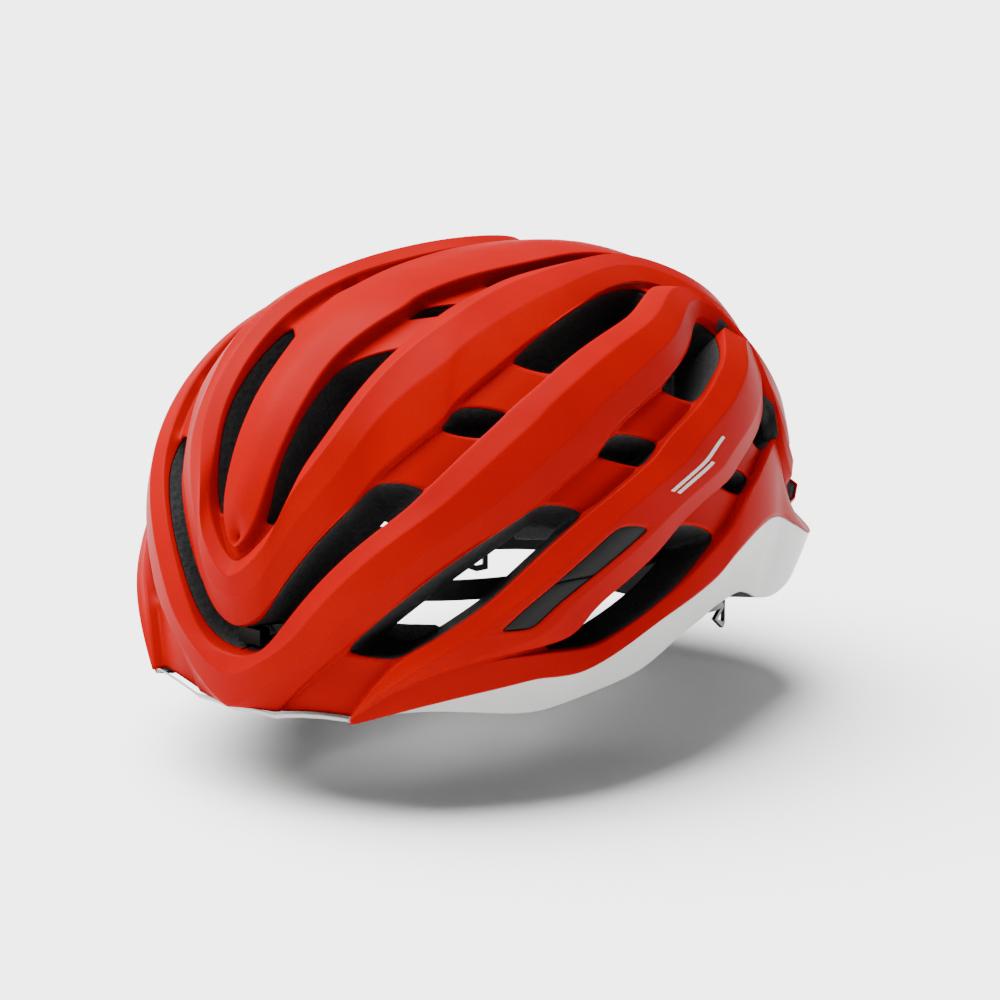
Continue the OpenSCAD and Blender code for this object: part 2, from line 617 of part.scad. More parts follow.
top_shell();
lower_shell();
foam_liner();
slot_insert(1, 2.05, 2.85);  // slot_insert_front_left
slot_insert(1, 2.9, 3.93);  // slot_insert_rear_left
slot_insert(-1, 2.05, 2.85);  // slot_insert_front_right
slot_insert(-1, 2.9, 3.93);  // slot_insert_rear_right
brow_strut();
front_headband();
temple_anchor(1);  // temple_anchor_left
temple_anchor(-1);  // temple_anchor_right
brow_pad();
crown_pad_centre();
crown_pad(1);  // crown_pad_left
crown_pad(-1);  // crown_pad_right
side_pad(1);  // side_pad_left
side_pad(-1);  // side_pad_right
hook_discs();
strap_anchors();
height_rail();
cradle_yoke();
housing_inner();
housing_outer();
housing_screws();
dial_knob();
dial_pinion();
dial_screw();
click_spring();
rack_arm(1);  // rack_arm_left
rack_arm(-1);  // rack_arm_right
nape_pad(1);  // nape_pad_left
nape_pad(-1);  // nape_pad_right
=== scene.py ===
import math

import bmesh
import bpy
import numpy as np
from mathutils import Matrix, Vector


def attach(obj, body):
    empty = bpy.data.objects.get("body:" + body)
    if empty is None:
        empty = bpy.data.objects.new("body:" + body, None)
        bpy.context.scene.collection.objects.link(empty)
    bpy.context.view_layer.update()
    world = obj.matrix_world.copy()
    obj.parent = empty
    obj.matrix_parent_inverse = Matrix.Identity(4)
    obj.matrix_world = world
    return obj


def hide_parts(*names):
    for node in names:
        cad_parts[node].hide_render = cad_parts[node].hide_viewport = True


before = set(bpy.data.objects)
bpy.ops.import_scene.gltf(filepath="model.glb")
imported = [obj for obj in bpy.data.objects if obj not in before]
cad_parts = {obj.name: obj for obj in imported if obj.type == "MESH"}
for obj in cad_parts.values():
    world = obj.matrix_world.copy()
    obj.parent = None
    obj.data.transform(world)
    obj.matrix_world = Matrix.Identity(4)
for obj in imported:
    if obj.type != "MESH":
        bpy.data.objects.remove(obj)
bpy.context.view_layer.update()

# ---- Studio -----------------------------------------------------------------------------
# A pale floor under one very wide, soft sun, with a faint side box and a white surround. The
# helmet stands a little above the floor, as on a clear stand, so its shadow lies free below.

FLOOR_DROP = 0.026
CAMERA_TURN = math.radians(39.5)
CAMERA_LIFT = math.radians(14.5)
CAMERA_AWAY = 1.4
LENS_MM = 137.5
SENSOR_MM = 36.0
SHIFT = (0.0241, -0.0424)
LOOK_AT = Vector((0.0, -0.0035, 0.0716))

SUN_ENERGY = 15.5
SUN_SPREAD = math.radians(64.0)
SUN_COLOUR = (1.0, 0.985, 0.97)
SUN_FROM = Vector((-0.36, -0.16, 0.95))
SIDE_BOX_SIZE = (0.8, 0.5)
SIDE_BOX_ENERGY = 1.0
SIDE_BOX_AT = (-0.95, -1.05, 0.6)
SURROUND = 0.38

scene = bpy.context.scene

camera_data = bpy.data.cameras.new("camera")
camera_data.lens = LENS_MM
camera_data.sensor_width = SENSOR_MM
camera_data.shift_x, camera_data.shift_y = SHIFT
camera = bpy.data.objects.new("camera", camera_data)
backward = Vector((math.sin(CAMERA_TURN) * math.cos(CAMERA_LIFT),
                   -math.cos(CAMERA_TURN) * math.cos(CAMERA_LIFT), math.sin(CAMERA_LIFT)))
camera.location = LOOK_AT + CAMERA_AWAY * backward
camera.rotation_euler = backward.to_track_quat("Z", "Y").to_euler()
scene.collection.objects.link(camera)
scene.camera = camera

key = bpy.data.lights.new("overhead", "SUN")
key.energy = SUN_ENERGY
key.angle = SUN_SPREAD
key.color = SUN_COLOUR
key_lamp = bpy.data.objects.new("overhead", key)
key_lamp.rotation_euler = SUN_FROM.to_track_quat("Z", "Y").to_euler()
scene.collection.objects.link(key_lamp)

side = bpy.data.lights.new("side_box", "AREA")
side.shape = "RECTANGLE"
side.size, side.size_y = SIDE_BOX_SIZE
side.energy = SIDE_BOX_ENERGY
side_lamp = bpy.data.objects.new("side_box", side)
side_lamp.location = SIDE_BOX_AT
side_lamp.rotation_euler = (side_lamp.location - LOOK_AT).to_track_quat("Z", "Y").to_euler()
scene.collection.objects.link(side_lamp)

world = bpy.data.worlds.new("surround")
world.use_nodes = True
world.node_tree.nodes["Background"].inputs["Color"].default_value = (1.0, 1.0, 1.0, 1.0)
world.node_tree.nodes["Background"].inputs["Strength"].default_value = SURROUND
scene.world = world

# ---- Top shell ----------------------------------------------------------------------------
# The painted skin of the helmet: one thin polycarbonate moulding, vacuum formed in ribs and
# channels and fused to the foam, with the vents cut through the channel floors.
#
# Its lines are drawn on a map of the dome: [u, v] lies u degrees to the left and v degrees
# to the rear of the crown. Each line has a point at each of 14 cross lines, front to rear.

# Half sizes of the dome in metres, where its middle lies, and how square and tapered it is.
HALF_WIDTH = 0.107
FRONT_LENGTH = 0.137
REAR_LENGTH = 0.1395
CROWN_HEIGHT = 0.128
LOWER_DEPTH = 0.110
MIDDLE_Y = -0.00199
STAND = 0.009
PLAN_POWER = 2.25
SIDE_POWER = 2.65
REAR_TAPER = 0.15
FRONT_TAPER = 0.035

CENTRE = [[0, -69], [0, -65], [0, -57], [0, -48], [0, -40], [0, -28], [0, -22], [0, -9],
          [0, 3], [0, 18], [0, 30], [0, 42], [0, 56], [0, 62]]
CHANNEL1_IN = [[0, -71], [3.9, -66.5], [4.8, -58.5], [5, -49.5], [5, -40], [7, -27.5], [6.5, -22],
               [7.5, -9], [8.5, 4], [8, 19.5], [10, 31], [10, 43], [7, 56.5], [0, 63]]
CHANNEL1_OUT = [[0, -73], [8, -66.5], [10, -58], [12, -49], [13, -31.5], [12.7, -21],
                [12.5, -15], [11.5, -5.5], [11, 8], [10, 22.5], [14, 33], [15, 45],
                [11, 57.5], [0, 64]]
CHANNEL2_IN = [[0, -82.4], [6.4, -80.2], [11.6, -74.2], [19.6, -61], [22, -54], [26, -42.5], [26, -37],
               [26.5, -25], [24.5, -8], [19, 20], [26, 33], [27, 49], [17, 61.5], [0, 67.5]]
CHANNEL2_OUT = [[0, -86.7], [8.5, -84.8], [15.5, -77.5], [27.5, -59], [31, -50], [33, -38.5],
                [33.3, -31], [33, -20.5], [29.5, 3.5], [22, 21], [30, 34], [32, 50.5],
                [19.5, 63], [0, 69]]
CHANNEL3_IN = [[13.5, -93.5], [26.5, -80], [35.7, -66], [43, -50], [46.5, -37.5], [47, -23],
               [45.5, -16], [42.5, 0], [37.5, 12], [28, 28.5], [42, 38], [46, 55],
               [33, 68.5], [0, 74.5]]
CHANNEL3_OUT = [[33.1, -87.9], [39.2, -75.6], [46, -66], [51.3, -53], [54, -29], [53.4, -13],
                [51, -4.5], [46.5, 9.5], [38.5, 23], [30.5, 31.5], [44.5, 39], [47.5, 56],
                [33.5, 69.8], [0, 75.6]]
CHANNEL4_IN = [[33.3, -87.9], [65.3, -52], [68, -36], [68, -18], [65, -5.5], [60.7, 11.5],
               [57, 18.5], [51, 28], [45, 34.5], [38.5, 39.5], [51, 42], [51, 59],
               [34.5, 72.6], [0, 77.6]]
CHANNEL4_OUT = [[33.4, -88.1], [67.5, -51], [76, -34], [76.7, -11], [69.5, 11.5],
                [62.3, 21.5], [58, 27.5], [52, 35], [49, 39], [48.5, 42], [54.5, 45],
                [52.5, 60], [35, 73.8], [0, 78.6]]
COLOUR_EDGE = [[33.5, -88.6], [68, -57], [78, -39], [80, -14], [78, 3], [73.5, 14],
               [71, 19.5], [67, 28], [64.3, 34.5], [62, 42], [60, 51], [54, 64], [34, 77],
               [0, 81]]
RIM = [[32.5, -89.5], [65.5, -69], [79.5, -52], [89, -26], [87, 0], [84, 12], [82.5, 17.5],
       [80, 26.5], [79, 34], [77.5, 43], [72, 54],
       [60.8, 63.6], [35, 82], [0, 86]]

STATIONS = len(RIM)
ROWS_BETWEEN = 8  # Fine rows from one cross line to the next.
ROWS = (STATIONS - 1) * ROWS_BETWEEN + 1

# Lifts and depths in mm from the dome: of channel floors, and of the edges of the ribs.
CHANNEL_DEPTH = 7.5
LIP_DEPTH = 4.6
EDGE = -3.0
LOW_EDGE = -5.0
BESIDE_LONG_VENTS = [2, 3, 8]  # Cross lines, counted from 0 at the front.


def rib_line(a, b, share, first=None):
    """A line at a share of the way across a rib, with its own point on the centreline."""
    line = np.array(a, float) + (np.array(b, float) - np.array(a, float)) * share
    if first is not None:
        line[0] = first
    return line


def level(lift, first=None):
    """The same lift at every station, with its own value at the front end."""
    lifts = np.full(STATIONS, float(lift))
    lifts[0] = lift if first is None else first
    return lifts


def floor_lift(front, behind, after):
    """Lift of a channel floor: deep at the bridges, shallow beside the long vents, with its
    own values at the front end and from a station on."""
    lifts = level(-CHANNEL_DEPTH, front)
    lifts[BESIDE_LONG_VENTS] = -LIP_DEPTH
    lifts[after:] = behind
    return lifts


def spline(points, fine=ROWS_BETWEEN, relax=3):
    """Rows along a line: a smooth curve through its station points, gently relaxed."""
    points = np.array(points, float)
    ends = np.concatenate([points[:1], points, points[-1:]])
    if points.ndim == 2:
        for end, inside in ((0, 2), (-1, -3)):
            if points[end, 0] == 0:
                ends[end] = ends[inside] * [-1, 1]
    t = np.arange((len(points) - 1) * fine + 1) / fine
    i = np.minimum(t.astype(int), len(points) - 2)
    f = (t - i).reshape((-1,) + (1,) * (points.ndim - 1))
    a, b, c, d = ends[i], ends[i + 1], ends[i + 2], ends[i + 3]
    rows = (2 * b + (c - a) * f + (2 * a - 5 * b + 4 * c - d) * f ** 2
            + (3 * b - a - 3 * c + d) * f ** 3) / 2
    for _ in range(relax):
        rows[1:-1] = (rows[:-2] + 2 * rows[1:-1] + rows[2:]) / 4
    return rows


def heading(m):
    """Unit directions from the middle of the dome to map points."""
    down = np.hypot(m[..., 0], m[..., 1])
    turn = np.arctan2(m[..., 1], m[..., 0])
    down = np.radians(down)
    return np.stack([np.sin(down) * np.cos(turn), np.sin(down) * np.sin(turn), np.cos(down)], -1)


def reach(d):
    """Distance from the middle of the dome to its surface along unit directions."""
    length = np.where(d[..., 1] < 0, FRONT_LENGTH, REAR_LENGTH)
    height = np.where(d[..., 2] > 0, CROWN_HEIGHT, LOWER_DEPTH)
    across = (np.abs(d[..., 0]) / HALF_WIDTH) ** PLAN_POWER
    along = (np.abs(d[..., 1]) / length) ** PLAN_POWER
    upright = (np.abs(d[..., 2]) / height) ** SIDE_POWER
    return ((across + along) ** (SIDE_POWER / PLAN_POWER) + upright) ** (-1 / SIDE_POWER)


def place(m, lift, middle_z):
    """Points in space of map points at a lift in mm above the dome."""
    d = heading(np.asarray(m, float))
    p = d * (reach(d) + np.asarray(lift) / 1000)[..., None]
    back, front = p[..., 1] / REAR_LENGTH, p[..., 1] / FRONT_LENGTH
    p[..., 0] *= np.where(p[..., 1] > 0, 1 - REAR_TAPER * back ** 2, 1 - FRONT_TAPER * front ** 2)
    return p + np.array([0, MIDDLE_Y, middle_z])


# The lowest point of the rim is STAND above z = 0: the dial housing reaches lower.
LOWER_DROP = 0.3
EDGE_LIFT = np.array([-2.5] * 10 + [0, 5, 4, 2])
RIM_LIFT = np.array([-9] * 10 + [-6.5, -1.5, -3, -5])
coarse_rim = place(spline(RIM, 2, 0), spline(RIM_LIFT, 2, 0) - LOWER_DROP, 0.0)
MIDDLE_Z = STAND - coarse_rim[:, 2].min()

vee_crest = rib_line(CHANNEL1_OUT, CHANNEL2_IN, 0.25, [0, -75.2])
vee_crease = rib_line(CHANNEL1_OUT, CHANNEL2_IN, 0.62, [0, -78])
brow_crest = rib_line(CHANNEL2_OUT, CHANNEL3_IN, 0.33, [0, -89.5])
brow_crease = rib_line(CHANNEL2_OUT, CHANNEL3_IN, 0.72, [0, -94.5])
side_crest = rib_line(CHANNEL3_OUT, CHANNEL4_IN, 0.36)
side_crease = rib_line(CHANNEL3_OUT, CHANNEL4_IN, 0.8)

WALL_SHARE = 0.035  # How much of a channel's width each of its walls takes up.


def channel(a, b, lifts):
    """The two floor lines of a channel, just in from its edges."""
    return [(rib_line(a, b, WALL_SHARE), lifts), (rib_line(b, a, WALL_SHARE), lifts)]


# Guide lines from the centre out: map line and lift.
guides = [(np.array(CENTRE, float), level(0, -6)), (np.array(CHANNEL1_IN, float), level(-2))]
guides += channel(CHANNEL1_IN, CHANNEL1_OUT, floor_lift(-4, -CHANNEL_DEPTH, 9))
guides += [(np.array(CHANNEL1_OUT, float), level(EDGE)), (vee_crest, level(0)),
           (vee_crease, level(-1.6)), (np.array(CHANNEL2_IN, float), level(LOW_EDGE))]
guides += channel(CHANNEL2_IN, CHANNEL2_OUT, floor_lift(-10, -4, 10))
guides += [(np.array(CHANNEL2_OUT, float), level(EDGE)), (brow_crest, level(0)),
           (brow_crease, level(-0.9)), (np.array(CHANNEL3_IN, float), level(LOW_EDGE))]
guides += channel(CHANNEL3_IN, CHANNEL3_OUT, floor_lift(-6, -CHANNEL_DEPTH, 9))
guides += [(np.array(CHANNEL3_OUT, float), level(EDGE, -2)), (side_crest, level(0, -1)),
           (side_crease, level(-1.4, -1.5)), (np.array(CHANNEL4_IN, float), level(-4, -2.2))]
guides += channel(CHANNEL4_IN, CHANNEL4_OUT, floor_lift(-2.6, -CHANNEL_DEPTH, 9))
guides += [(np.array(CHANNEL4_OUT, float), level(-4, -2.6)), (np.array(COLOUR_EDGE, float), EDGE_LIFT),
           (np.array(RIM, float), RIM_LIFT)]
COLOUR_GUIDE = len(guides) - 2
BROW_GUIDE = 12

# Shares of the way at which extra columns stand between each guide and the next. Columns
# close to a guide keep its crease crisp once the surface is subdivided.
WALL = [0.5]
FLAT = [0.07, 0.5, 0.93]
CHAMFER = [0.12, 0.88]
FLOOR = [0.07, 0.36, 0.64, 0.93]
between = [[0.5, 0.85], WALL, FLOOR, WALL, CHAMFER, FLAT, FLAT, WALL, FLOOR, WALL, CHAMFER,
           FLAT, FLAT, WALL, FLOOR, WALL, CHAMFER, [0.07, 0.18, 0.5, 0.84, 0.93], FLAT, WALL,
           FLOOR, WALL, [0.15, 0.5, 0.85], [0.05, 0.3, 0.6, 0.85, 0.95]]

# The side channel starts just ahead of its first vent: until there it is flush.
FLUSH_UNTIL = 0.8


def lift_spline(guide, lifts):
    """Lifts of a guide at every fine row, with the side channel flush at its front."""
    rows = spline(lifts, relax=2)
    if COLOUR_GUIDE - 4 <= guide < COLOUR_GUIDE:
        t = np.arange(len(rows)) / ROWS_BETWEEN
        share = np.clip((t - FLUSH_UNTIL) / (1 - FLUSH_UNTIL), 0, 1)
        flush = -2.4 - 0.6 * np.clip(t, 0, 1)
        rows = flush + (rows - flush) * share
    return rows


EDGE_BULGE = 0.02


def map_spline(guide, line):
    """Map points of a guide at every fine row. The colour line swells at its front."""
    rows = spline(line)
    if guide == COLOUR_GUIDE:
        swell = np.sin(np.linspace(0, math.pi, ROWS_BETWEEN + 1))
        rows[:ROWS_BETWEEN + 1] *= 1 + EDGE_BULGE * swell[:, None]
    return rows


columns = []
guide_column = []
for k, (line, lifts) in enumerate(guides):
    guide_column.append(len(columns))
    map_rows, lift_rows = map_spline(k, line), lift_spline(k, lifts)
    columns.append((map_rows, lift_rows))
    if k < len(between):
        next_map = map_spline(k + 1, guides[k + 1][0])
        next_lift = lift_spline(k + 1, guides[k + 1][1])
        for share in between[k]:
            columns.append((map_rows + (next_map - map_rows) * share,
                            lift_rows + (next_lift - lift_rows) * share))
column_map = np.array([c[0] for c in columns])
column_lift = np.array([c[1] for c in columns])

# First and last guide, first and last station of each vent, then of the side rib's slot.
VENTS = [(2, 3, 1, 4), (2, 3, 5, 6), (2, 3, 7, 9), (2, 3, 10, 12), (8, 9, 0, 4), (8, 9, 5, 6),
         (8, 9, 7, 9), (8, 9, 10.5, 12), (14, 15, 1, 4), (14, 15, 5, 6), (14, 15, 7, 9),
         (20, 21, 1, 4), (20, 21, 5, 6), (20, 21, 7, 9), (16, 19, 10.5, 11)]
SLOT = (17, 18, 1.4, 3.65)


def hole_box(a, b, front, rear, first=0):
    """First and last column, counted from column `first`, and first and last row of a hole.
    The slot is two columns narrower than its facet on each side."""
    left, right = guide_column[a] - first, guide_column[b] - first
    if (a, b) == SLOT[:2]:
        left, right = left + 2, right - 2
    return left, right, round(front * ROWS_BETWEEN), round(rear * ROWS_BETWEEN)


def solid_cells(first, last, holes):
    """Which cells of the grid between two guides are material, with the holes left out."""
    start, stop = guide_column[first], guide_column[last]
    solid = np.ones((stop - start, ROWS - 1), bool)
    for hole in holes:
        left, right, front, rear = hole_box(*hole, start)
        solid[left:right, front:rear] = False
    return solid


def rounded(map_grid, holes, radius, side_inset=0.0, end_inset=0.0):
    """The map grid with the edge points of each hole moved onto a rectangle with round
    corners, optionally a share narrower on each side and some metres shorter at each end."""
    grid = map_grid.copy()
    middle = place(map_grid, -6.0, 0.0)
    for hole in holes:
        left, right, front, rear = hole_box(*hole)
        centre_line = (middle[left, front:rear + 1] + middle[right, front:rear + 1]) / 2
        run = np.concatenate([[0], np.cumsum(np.linalg.norm(np.diff(centre_line, axis=0), axis=1))])
        length = run[-1]
        span = np.linalg.norm(middle[right] - middle[left], axis=1)

        def spot(share, way):
            row = np.interp(way, run, np.arange(len(run)))
            i = min(int(row), len(run) - 2)
            f = row - i
            sides = [map_grid[c, front + i] * (1 - f) + map_grid[c, front + i + 1] * f
                     for c in (left, right)]
            return sides[0] + (sides[1] - sides[0]) * share

        edge_points = {(c, j) for c in range(left, right + 1) for j in (front, rear)}
        edge_points |= {(c, j) for c in (left, right) for j in range(front, rear + 1)}
        for c, j in edge_points:
            across = map_grid[right, j] - map_grid[left, j]
            share = float(((map_grid[c, j] - map_grid[left, j]) @ across) / (across @ across))
            share = side_inset + (1 - 2 * side_inset) * share
            way = end_inset + (length - 2 * end_inset) * run[j - front] / length
            wide = span[j] * (1 - 2 * side_inset)
            near_end = min(way - end_inset, length - end_inset - way)
            x = (share - side_inset) * span[j]
            near_side = min(x, wide - x)
            turn = min(radius, 0.3 * wide, 0.3 * (length - 2 * end_inset))
            if near_side < turn and near_end < turn:
                along_side = near_side <= near_end
                angle = math.pi / 4 * (1 + (near_end if along_side else near_side) / turn)
                side_way = turn * (1 - (math.sin(angle) if along_side else math.cos(angle)))
                end_way = turn * (1 - (math.cos(angle) if along_side else math.sin(angle)))
                new_x = side_way if x < wide / 2 else wide - side_way
                share = side_inset + new_x / span[j]
                if way < length / 2:
                    way = end_inset + end_way
                else:
                    way = length - end_inset - end_way
            grid[c, j] = spot(share, way)
    return grid


# How crisp each guide stays, and the free edges too, where the surface turns by SHARP_TURN.
CREASE = {1: 0.7, 4: 0.6, 5: 0.8, 6: 0.8, 7: 0.6, 10: 0.6, 11: 0.8, 12: 0.8, 13: 0.6, 16: 0.6,
          17: 0.8, 18: 0.8, 19: 0.6, 22: 0.6, 23: 0.9}
LIP_CREASE = 0.6
SHARP_TURN = 0.9


def skin(name, layers, solid, meets_front, first_guide=0):
    """A closed skin, mirrored left to right, through layers of points (column, row). Its
    first layer faces out and its last in; free edges are walled through the layers."""
    wide, tall = layers[0].shape[:2]
    faces = []
    inner = len(layers) - 1

    def at(layer, i, j):
        return (layer * wide + i) * tall + j

    for i, j in zip(*np.nonzero(solid)):
        quad = [(i, j), (i + 1, j), (i + 1, j + 1), (i, j + 1)]
        faces.append([at(0, *c) for c in quad])
        faces.append([at(inner, *c) for c in reversed(quad)])
        neighbours = [(i, j - 1), (i + 1, j), (i, j + 1), (i - 1, j)]
        for side, (ni, nj) in enumerate(neighbours):
            if 0 <= ni < wide - 1 and 0 <= nj < tall - 1 and solid[ni, nj]:
                continue
            on_centre = (side == 3 and i == 0 and first_guide == 0) or (side == 2 and j == tall - 2)
            if on_centre or (side == 0 and j == 0 and i < meets_front):
                continue
            a, b = quad[side], quad[(side + 1) % 4]
            for layer in range(inner):
                faces.append([at(layer, *b), at(layer, *a), at(layer + 1, *a), at(layer + 1, *b)])
    points = np.concatenate([layer.reshape(-1, 3) for layer in layers])
    count = len(points)
    mirror = points * np.array([-1, 1, 1])
    faces += [[count + v for v in reversed(face)] for face in faces]
    mesh = bpy.data.meshes.new(name)
    mesh.from_pydata(np.concatenate([points, mirror]).tolist(), [], faces)
    work = bmesh.new()
    work.from_mesh(mesh)
    crease = work.edges.layers.float.new("crease_edge")
    weight = {guide_column[guide] - guide_column[first_guide]: w for guide, w in CREASE.items()
              if guide >= first_guide}
    per_layer = wide * tall
    for edge in work.edges:
        one, two = (v.index % count for v in edge.verts)
        same_layer = one // per_layer == two // per_layer
        column = one % per_layer // tall
        if same_layer and column == two % per_layer // tall and column in weight:
            edge[crease] = weight[column]
        turned = len(edge.link_faces) == 2 and edge.calc_face_angle(0.0) > SHARP_TURN
        if same_layer and one // per_layer in (0, inner) and turned:
            edge[crease] = max(edge[crease], LIP_CREASE)
    bmesh.ops.delete(work, geom=[v for v in work.verts if not v.link_faces], context="VERTS")
    middle = [v for v in work.verts if abs(v.co.x) < 1e-6]
    bmesh.ops.remove_doubles(work, verts=middle, dist=1e-6)
    bmesh.ops.recalc_face_normals(work, faces=work.faces)
    work.to_mesh(mesh)
    work.free()
    mesh.shade_smooth()
    piece = bpy.data.objects.new(name, mesh)
    scene.collection.objects.link(piece)
    return piece


def subdivide(piece, levels):
    """Smooth a piece by splitting its faces, and leave that as a modifier."""
    refine = piece.modifiers.new("subdivide", "SUBSURF")
    refine.levels = refine.render_levels = levels


SHELL_WALL = 1.0
CORNER = 0.006
SLOT_CORNER = 0.0025
SLOT_TAPER = 0.66

red_columns = slice(guide_column[0], guide_column[COLOUR_GUIDE] + 1)
vent_map = rounded(rounded(column_map, VENTS, CORNER), [SLOT], SLOT_CORNER)

# The slot tapers toward the front.
slot_left, slot_right, slot_front, slot_rear = hole_box(*SLOT)
narrow = np.linspace(SLOT_TAPER, 1.0, slot_rear - slot_front + 1)[None, :, None]
slot_map = vent_map[slot_left:slot_right + 1, slot_front:slot_rear + 1]
slot_middle = (slot_map[:1] + slot_map[-1:]) / 2
slot_map[:] = slot_middle + (slot_map - slot_middle) * narrow

red_map, red_lift = vent_map[red_columns], column_lift[red_columns]
red_solid = solid_cells(0, COLOUR_GUIDE, VENTS + [SLOT])
top_shell = skin("top_shell_skin",
                 [place(red_map, red_lift - drop, MIDDLE_Z) for drop in (0.0, SHELL_WALL)],
                 red_solid, guide_column[BROW_GUIDE])
subdivide(top_shell, 1)


class Wire:
    """A number in a material on its way from one node to the next."""

    def __init__(self, finish, socket):
        self.finish = finish
        self.socket = socket

    def maths(self, operation, first, second):
        return self.finish.node("ShaderNodeMath", {"operation": operation}, {0: first, 1: second})

    def __add__(self, other):
        return self.maths("ADD", self, other)

    def __mul__(self, other):
        return self.maths("MULTIPLY", self, other)

    __radd__ = __add__
    __rmul__ = __mul__


class Finish:
    """A material made of nodes around one surface shader."""

    def __init__(self, name, roughness, **constants):
        self.material = bpy.data.materials.new(name)
        self.material.use_nodes = True
        self.tree = self.material.node_tree
        self.surface = self.tree.nodes["Principled BSDF"]
        self.surface.inputs["Roughness"].default_value = roughness
        for socket, value in constants.items():
            self.surface.inputs[socket.replace("_", " ")].default_value = value

    def plug(self, socket, value):
        if isinstance(value, Wire):
            self.tree.links.new(value.socket, socket)
        else:
            socket.default_value = value

    def node(self, kind, settings, sockets, output=0):
        node = self.tree.nodes.new(kind)
        for key, value in settings.items():
            if key == "stops":
                for stop, (position, shade) in zip(node.color_ramp.elements, value):
                    stop.position = position
                    stop.color = (shade, shade, shade, 1.0)
            else:
                setattr(node, key, value)
        for key, value in sockets.items():
            self.plug(node.inputs[key], value)
        return Wire(self, node.outputs[output])

    def where(self):
        return self.node("ShaderNodeTexCoord", {}, {}, "Object")

    def noise(self, scale, detail=2.0, roughness=0.5):
        return self.node("ShaderNodeTexNoise", {}, {"Vector": self.where(), "Scale": scale,
                                                    "Detail": detail, "Roughness": roughness})

    def mix(self, factor, a, b):
        return self.node("ShaderNodeMix", {"data_type": "RGBA"}, {0: factor, 6: a, 7: b}, 2)

    def ramp(self, value, low_stop, high_stop):
        return self.node("ShaderNodeValToRGB", {"stops": [(low_stop, 0.0), (high_stop, 1.0)]},
                         {0: value})

    def bump(self, height, strength, distance):
        return self.node("ShaderNodeBump", {},
                         {"Height": height, "Strength": strength, "Distance": distance})

    def use(self, **sockets):
        for socket, value in sockets.items():
            self.plug(self.surface.inputs[socket.replace("_", " ")], value)


RED = (0.24, 0.0005, 0.0008, 1.0)
RED_DEEP = (0.215, 0.0003, 0.0006, 1.0)
RED_WORN = (0.28, 0.005, 0.004, 1.0)

red_paint = Finish("matt_red_paint", 0.45, Specular_IOR_Level=0.02)
cloud = red_paint.ramp(red_paint.noise(28.0, 3.0), 0.35, 0.65)
tone = red_paint.mix(cloud, RED, RED_DEEP)
edges = red_paint.node("ShaderNodeNewGeometry", {}, {}, "Pointiness")
worn = red_paint.ramp(edges, 0.515, 0.56)
scuff = red_paint.ramp(red_paint.noise(240.0, 4.0, 0.7), 0.45, 0.7)
grain = red_paint.noise(2600.0, 2.0)
red_paint.use(Base_Color=red_paint.mix(worn * scuff * 0.35, tone, RED_WORN),
              Roughness=cloud * 0.05 + grain * 0.08 + 0.35,
              Normal=red_paint.bump(grain, 0.12, 0.0002))
top_shell.data.materials.append(red_paint.material)
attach(top_shell, "helmet")
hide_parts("top_shell")

# ---- Lower shell ----------------------------------------------------------------------------
# The white wrap below the colour line: a second polycarbonate moulding, taped to the first
# before the foam is blown in behind both. It rises to the nape and tucks in under the rim.

white_columns = slice(guide_column[COLOUR_GUIDE], guide_column[-1] + 1)
white_map, white_lift = column_map[white_columns], column_lift[white_columns]
white_solid = solid_cells(COLOUR_GUIDE, len(guides) - 1, [])
lower_shell = skin("lower_shell_skin",
                   [place(white_map, white_lift - LOWER_DROP - drop, MIDDLE_Z)
                    for drop in (0.0, SHELL_WALL)], white_solid, 0,
                   COLOUR_GUIDE)
subdivide(lower_shell, 1)

# Its thin front lip, which shows as a white line below the brow.
LIP_DROP = (1.004, 1.011)
LIP_LIFT = -2.4
LIP_FOOT = (-7.5, -4.2)
brow_edge = column_map[guide_column[BROW_GUIDE]:guide_column[COLOUR_GUIDE] + 1, 0][::-1]
brow_low = brow_edge * np.linspace(*LIP_DROP, len(brow_edge))[:, None]
shares = np.linspace(0, 1, 3)[:, None]
lip_map = brow_edge[None] + (brow_low - brow_edge)[None] * shares[..., None]
lip_lift = LIP_LIFT + (np.linspace(*LIP_FOOT, len(brow_edge)) - LIP_LIFT)[None] * shares
brow_lip = skin("lower_shell_brow_lip",
                [place(lip_map, lip_lift - LOWER_DROP - drop, MIDDLE_Z)
                 for drop in (0.0, SHELL_WALL)],
                np.ones((len(shares) - 1, len(brow_edge) - 1), bool), 0, COLOUR_GUIDE)

WHITE = (0.36, 0.36, 0.357, 1.0)
WHITE_DULL = (0.33, 0.33, 0.328, 1.0)
white_satin = Finish("satin_white", 0.32, Specular_IOR_Level=0.3)
haze = white_satin.ramp(white_satin.noise(35.0, 3.0), 0.3, 0.7)
speck = white_satin.noise(2200.0, 2.0)
white_satin.use(Base_Color=white_satin.mix(haze, WHITE, WHITE_DULL),
                Roughness=haze * 0.08 + speck * 0.06 + 0.26,
                Normal=white_satin.bump(speck, 0.08, 0.0002))
for piece in (lower_shell, brow_lip):
    piece.data.materials.append(white_satin.material)
    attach(piece, "helmet")
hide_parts("lower_shell")

# ---- Foam liner -------------------------------------------------------------------------------
# Expanded polystyrene, black, moulded behind the shells. Its walls show inside every vent,
# which narrows toward the head, and its beads show as a fine grey grain.

FOAM_SIDE = 24.0
FOAM_ENDS = 32.0
FOAM_TOP = 30.0
SKIN_GAP = 0.15
FOAM_CORNER = 0.009
FOAM_NARROWS = 0.13
FOAM_SHORTENS = 0.004
FOAM_LAYERS = (0.12, 0.6, 0.93)

